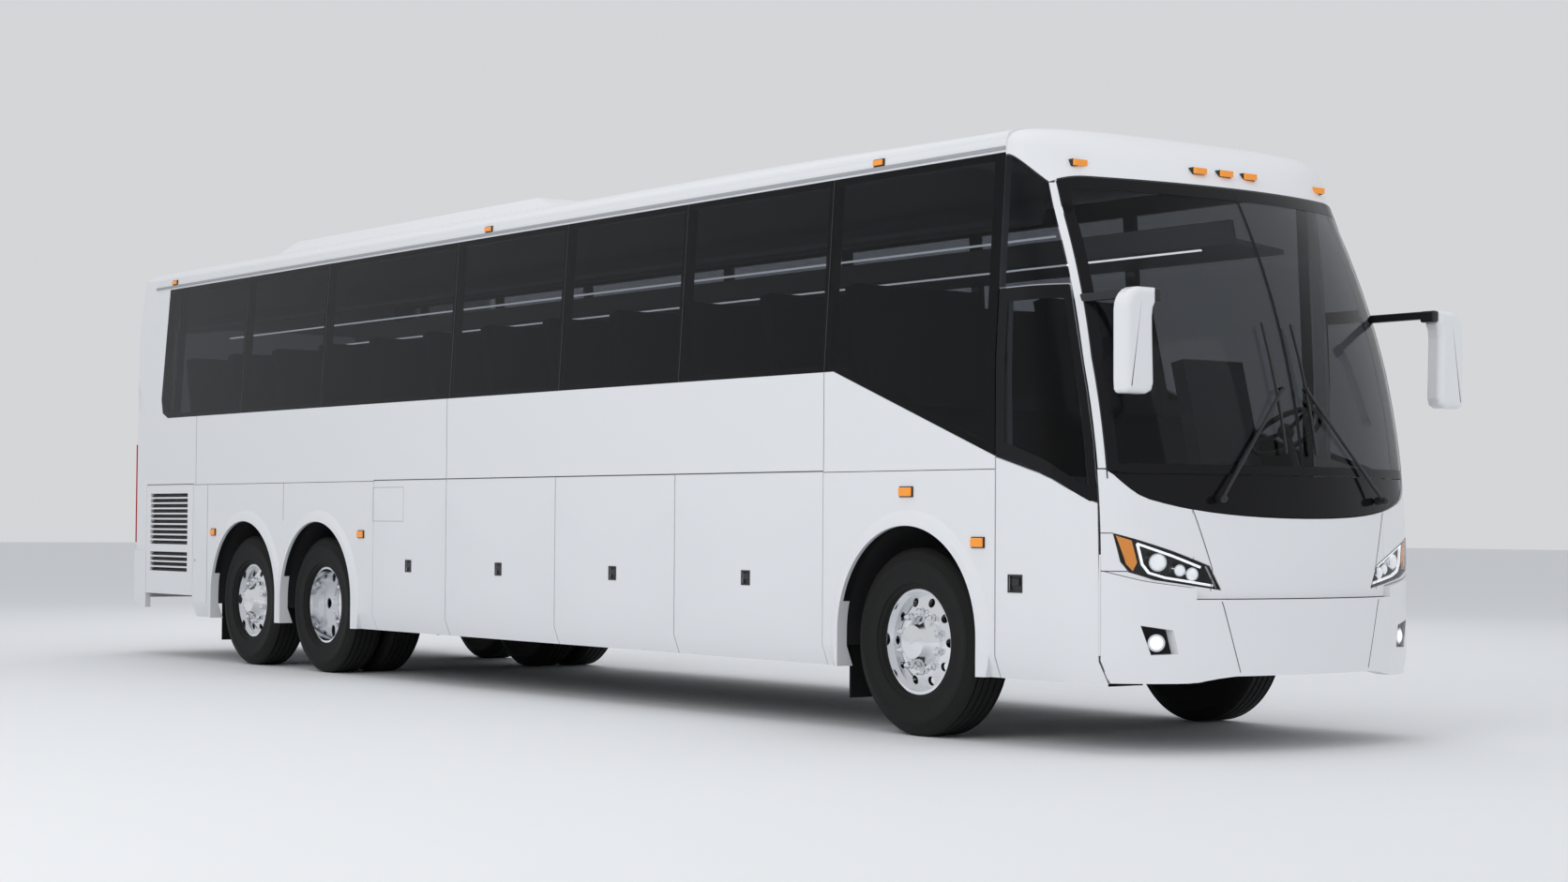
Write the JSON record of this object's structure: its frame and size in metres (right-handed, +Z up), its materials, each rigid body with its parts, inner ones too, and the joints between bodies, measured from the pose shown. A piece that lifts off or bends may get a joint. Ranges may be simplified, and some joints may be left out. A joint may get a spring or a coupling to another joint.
{
  "type": "coach_bus",
  "caption": "White highway coach with tinted windows, luggage doors under the floor, steered front wheels, twin drive wheels and a roof air-conditioning pod.",
  "frame": {"origin": "Middle of the bounding box, on the ground under the tyres", "axes": "+X the way the coach drives, +Y its left side, +Z up"},
  "size_m": [13.13, 2.67, 3.605],
  "materials": {
    "white_paint": "gloss",
    "white_plastic": "gloss",
    "chassis_black": "satin",
    "tinted_glass": "gloss",
    "black_plastic": "satin",
    "tyre_rubber": "matte",
    "wheel_metal": "polished",
    "flap_rubber": "matte",
    "floor_grey": "satin",
    "engine_iron": "matte",
    "seat_cloth": "matte",
    "rack_grey": "satin",
    "lamp_clear": "gloss",
    "lamp_red": "gloss",
    "lamp_amber": "gloss"
  },
  "bodies": {
    "coach": {"underframe": "chassis_black", "luggage_floor": "chassis_black", "cabin_floor": "floor_grey", "entry_steps": "floor_grey", "side_wall_right": "white_paint", "side_wall_left": "white_paint", "roof": "white_paint", "roof_pod": "white_paint", "rear_cap": "white_paint", "rear_bumper": "white_paint", "front_cap": "white_paint", "nose_panel": "white_paint", "wiper_cowl": "black_plastic", "front_bumper": "white_paint", "windshield": "tinted_glass", "window_glass": "tinted_glass", "front_lamps": "lamp_clear", "tail_lamps": "lamp_red", "marker_lamps": "lamp_amber", "mirrors": "white_plastic", "wipers": "black_plastic", "mud_flaps": "flap_rubber", "front_axle": "chassis_black", "drive_axle": "chassis_black", "tag_axle": "chassis_black", "engine": "engine_iron", "dashboard": "black_plastic", "driver_seat": "seat_cloth", "passenger_seats": "seat_cloth", "luggage_racks": "rack_grey"},
    "knuckle_right": {"knuckle_right": "chassis_black"},
    "wheel_front_right": {"tyre_front_right": "tyre_rubber", "rim_front_right": "wheel_metal"},
    "wheel_drive_right": {"tyre_drive_right": "tyre_rubber", "rim_drive_right": "wheel_metal"},
    "wheel_tag_right": {"tyre_tag_right": "tyre_rubber", "rim_tag_right": "wheel_metal"},
    "bay_door_right_1": {"bay_door_right_1": "white_paint"},
    "bay_door_right_2": {"bay_door_right_2": "white_paint"},
    "bay_door_right_3": {"bay_door_right_3": "white_paint"},
    "bay_door_right_4": {"bay_door_right_4": "white_paint"},
    "grille_door_right": {"grille_door_right": "white_paint"},
    "knuckle_left": {"knuckle_left": "chassis_black"},
    "wheel_front_left": {"tyre_front_left": "tyre_rubber", "rim_front_left": "wheel_metal"},
    "wheel_drive_left": {"tyre_drive_left": "tyre_rubber", "rim_drive_left": "wheel_metal"},
    "wheel_tag_left": {"tyre_tag_left": "tyre_rubber", "rim_tag_left": "wheel_metal"},
    "bay_door_left_1": {"bay_door_left_1": "white_paint"},
    "bay_door_left_2": {"bay_door_left_2": "white_paint"},
    "bay_door_left_3": {"bay_door_left_3": "white_paint"},
    "bay_door_left_4": {"bay_door_left_4": "white_paint"},
    "grille_door_left": {"grille_door_left": "white_paint"},
    "entry_door": {"entry_door": "white_paint", "entry_door_glass": "tinted_glass"},
    "engine_door": {"engine_door": "white_paint"},
    "roof_hatch": {"roof_hatch": "white_plastic"}
  },
  "joints": [
    {"name": "steer_right", "type": "hinge", "parent": "coach", "child": "knuckle_right", "pos_m": [4.695, -0.91, 0.535], "axis": [0, 0, 1], "range_deg": [-42, 42]},
    {"name": "spin_front_right", "type": "hinge", "parent": "knuckle_right", "child": "wheel_front_right", "pos_m": [4.695, -1.1, 0.535], "axis": [0, 1, 0], "continuous": true},
    {"name": "spin_drive_right", "type": "hinge", "parent": "coach", "child": "wheel_drive_right", "pos_m": [-2.705, -0.925, 0.535], "axis": [0, 1, 0], "continuous": true},
    {"name": "spin_tag_right", "type": "hinge", "parent": "coach", "child": "wheel_tag_right", "pos_m": [-4.04, -1.1, 0.535], "axis": [0, 1, 0], "continuous": true},
    {"name": "bay_right_1", "type": "hinge", "parent": "coach", "child": "bay_door_right_1", "pos_m": [3.123, -1.287, 1.503], "axis": [-1, 0, 0], "range_deg": [0, 85]},
    {"name": "bay_right_2", "type": "hinge", "parent": "coach", "child": "bay_door_right_2", "pos_m": [1.6115, -1.287, 1.503], "axis": [-1, 0, 0], "range_deg": [0, 85]},
    {"name": "bay_right_3", "type": "hinge", "parent": "coach", "child": "bay_door_right_3", "pos_m": [0.1245, -1.287, 1.503], "axis": [-1, 0, 0], "range_deg": [0, 85]},
    {"name": "bay_right_4", "type": "hinge", "parent": "coach", "child": "bay_door_right_4", "pos_m": [-1.1995, -1.287, 1.503], "axis": [-1, 0, 0], "range_deg": [0, 85]},
    {"name": "grille_right", "type": "hinge", "parent": "coach", "child": "grille_door_right", "pos_m": [-5.604, -1.287, 1.503], "axis": [-1, 0, 0], "range_deg": [0, 85]},
    {"name": "steer_left", "type": "hinge", "parent": "coach", "child": "knuckle_left", "pos_m": [4.695, 0.91, 0.535], "axis": [0, 0, 1], "range_deg": [-42, 42]},
    {"name": "spin_front_left", "type": "hinge", "parent": "knuckle_left", "child": "wheel_front_left", "pos_m": [4.695, 1.1, 0.535], "axis": [0, 1, 0], "continuous": true},
    {"name": "spin_drive_left", "type": "hinge", "parent": "coach", "child": "wheel_drive_left", "pos_m": [-2.705, 0.925, 0.535], "axis": [0, 1, 0], "continuous": true},
    {"name": "spin_tag_left", "type": "hinge", "parent": "coach", "child": "wheel_tag_left", "pos_m": [-4.04, 1.1, 0.535], "axis": [0, 1, 0], "continuous": true},
    {"name": "bay_left_1", "type": "hinge", "parent": "coach", "child": "bay_door_left_1", "pos_m": [3.123, 1.287, 1.503], "axis": [1, 0, 0], "range_deg": [0, 85]},
    {"name": "bay_left_2", "type": "hinge", "parent": "coach", "child": "bay_door_left_2", "pos_m": [1.6115, 1.287, 1.503], "axis": [1, 0, 0], "range_deg": [0, 85]},
    {"name": "bay_left_3", "type": "hinge", "parent": "coach", "child": "bay_door_left_3", "pos_m": [0.1245, 1.287, 1.503], "axis": [1, 0, 0], "range_deg": [0, 85]},
    {"name": "bay_left_4", "type": "hinge", "parent": "coach", "child": "bay_door_left_4", "pos_m": [-1.1995, 1.287, 1.503], "axis": [1, 0, 0], "range_deg": [0, 85]},
    {"name": "grille_left", "type": "hinge", "parent": "coach", "child": "grille_door_left", "pos_m": [-5.604, 1.287, 1.503], "axis": [1, 0, 0], "range_deg": [0, 85]},
    {"name": "entry", "type": "hinge", "parent": "coach", "child": "entry_door", "pos_m": [6.171, -1.203, 1.2], "axis": [0, 0, 1], "range_deg": [0, 80]},
    {"name": "engine_lid", "type": "hinge", "parent": "coach", "child": "engine_door", "pos_m": [-6.502, 0, 1.946], "axis": [0, 1, 0], "range_deg": [0, 80]},
    {"name": "hatch", "type": "hinge", "parent": "coach", "child": "roof_hatch", "pos_m": [4.535, 0, 3.4766], "axis": [0, 1, 0], "range_deg": [0, 35]}
  ],
  "couplings": [
    {"joint": "steer_left", "follows": "steer_right", "ratio": 1}
  ]
}
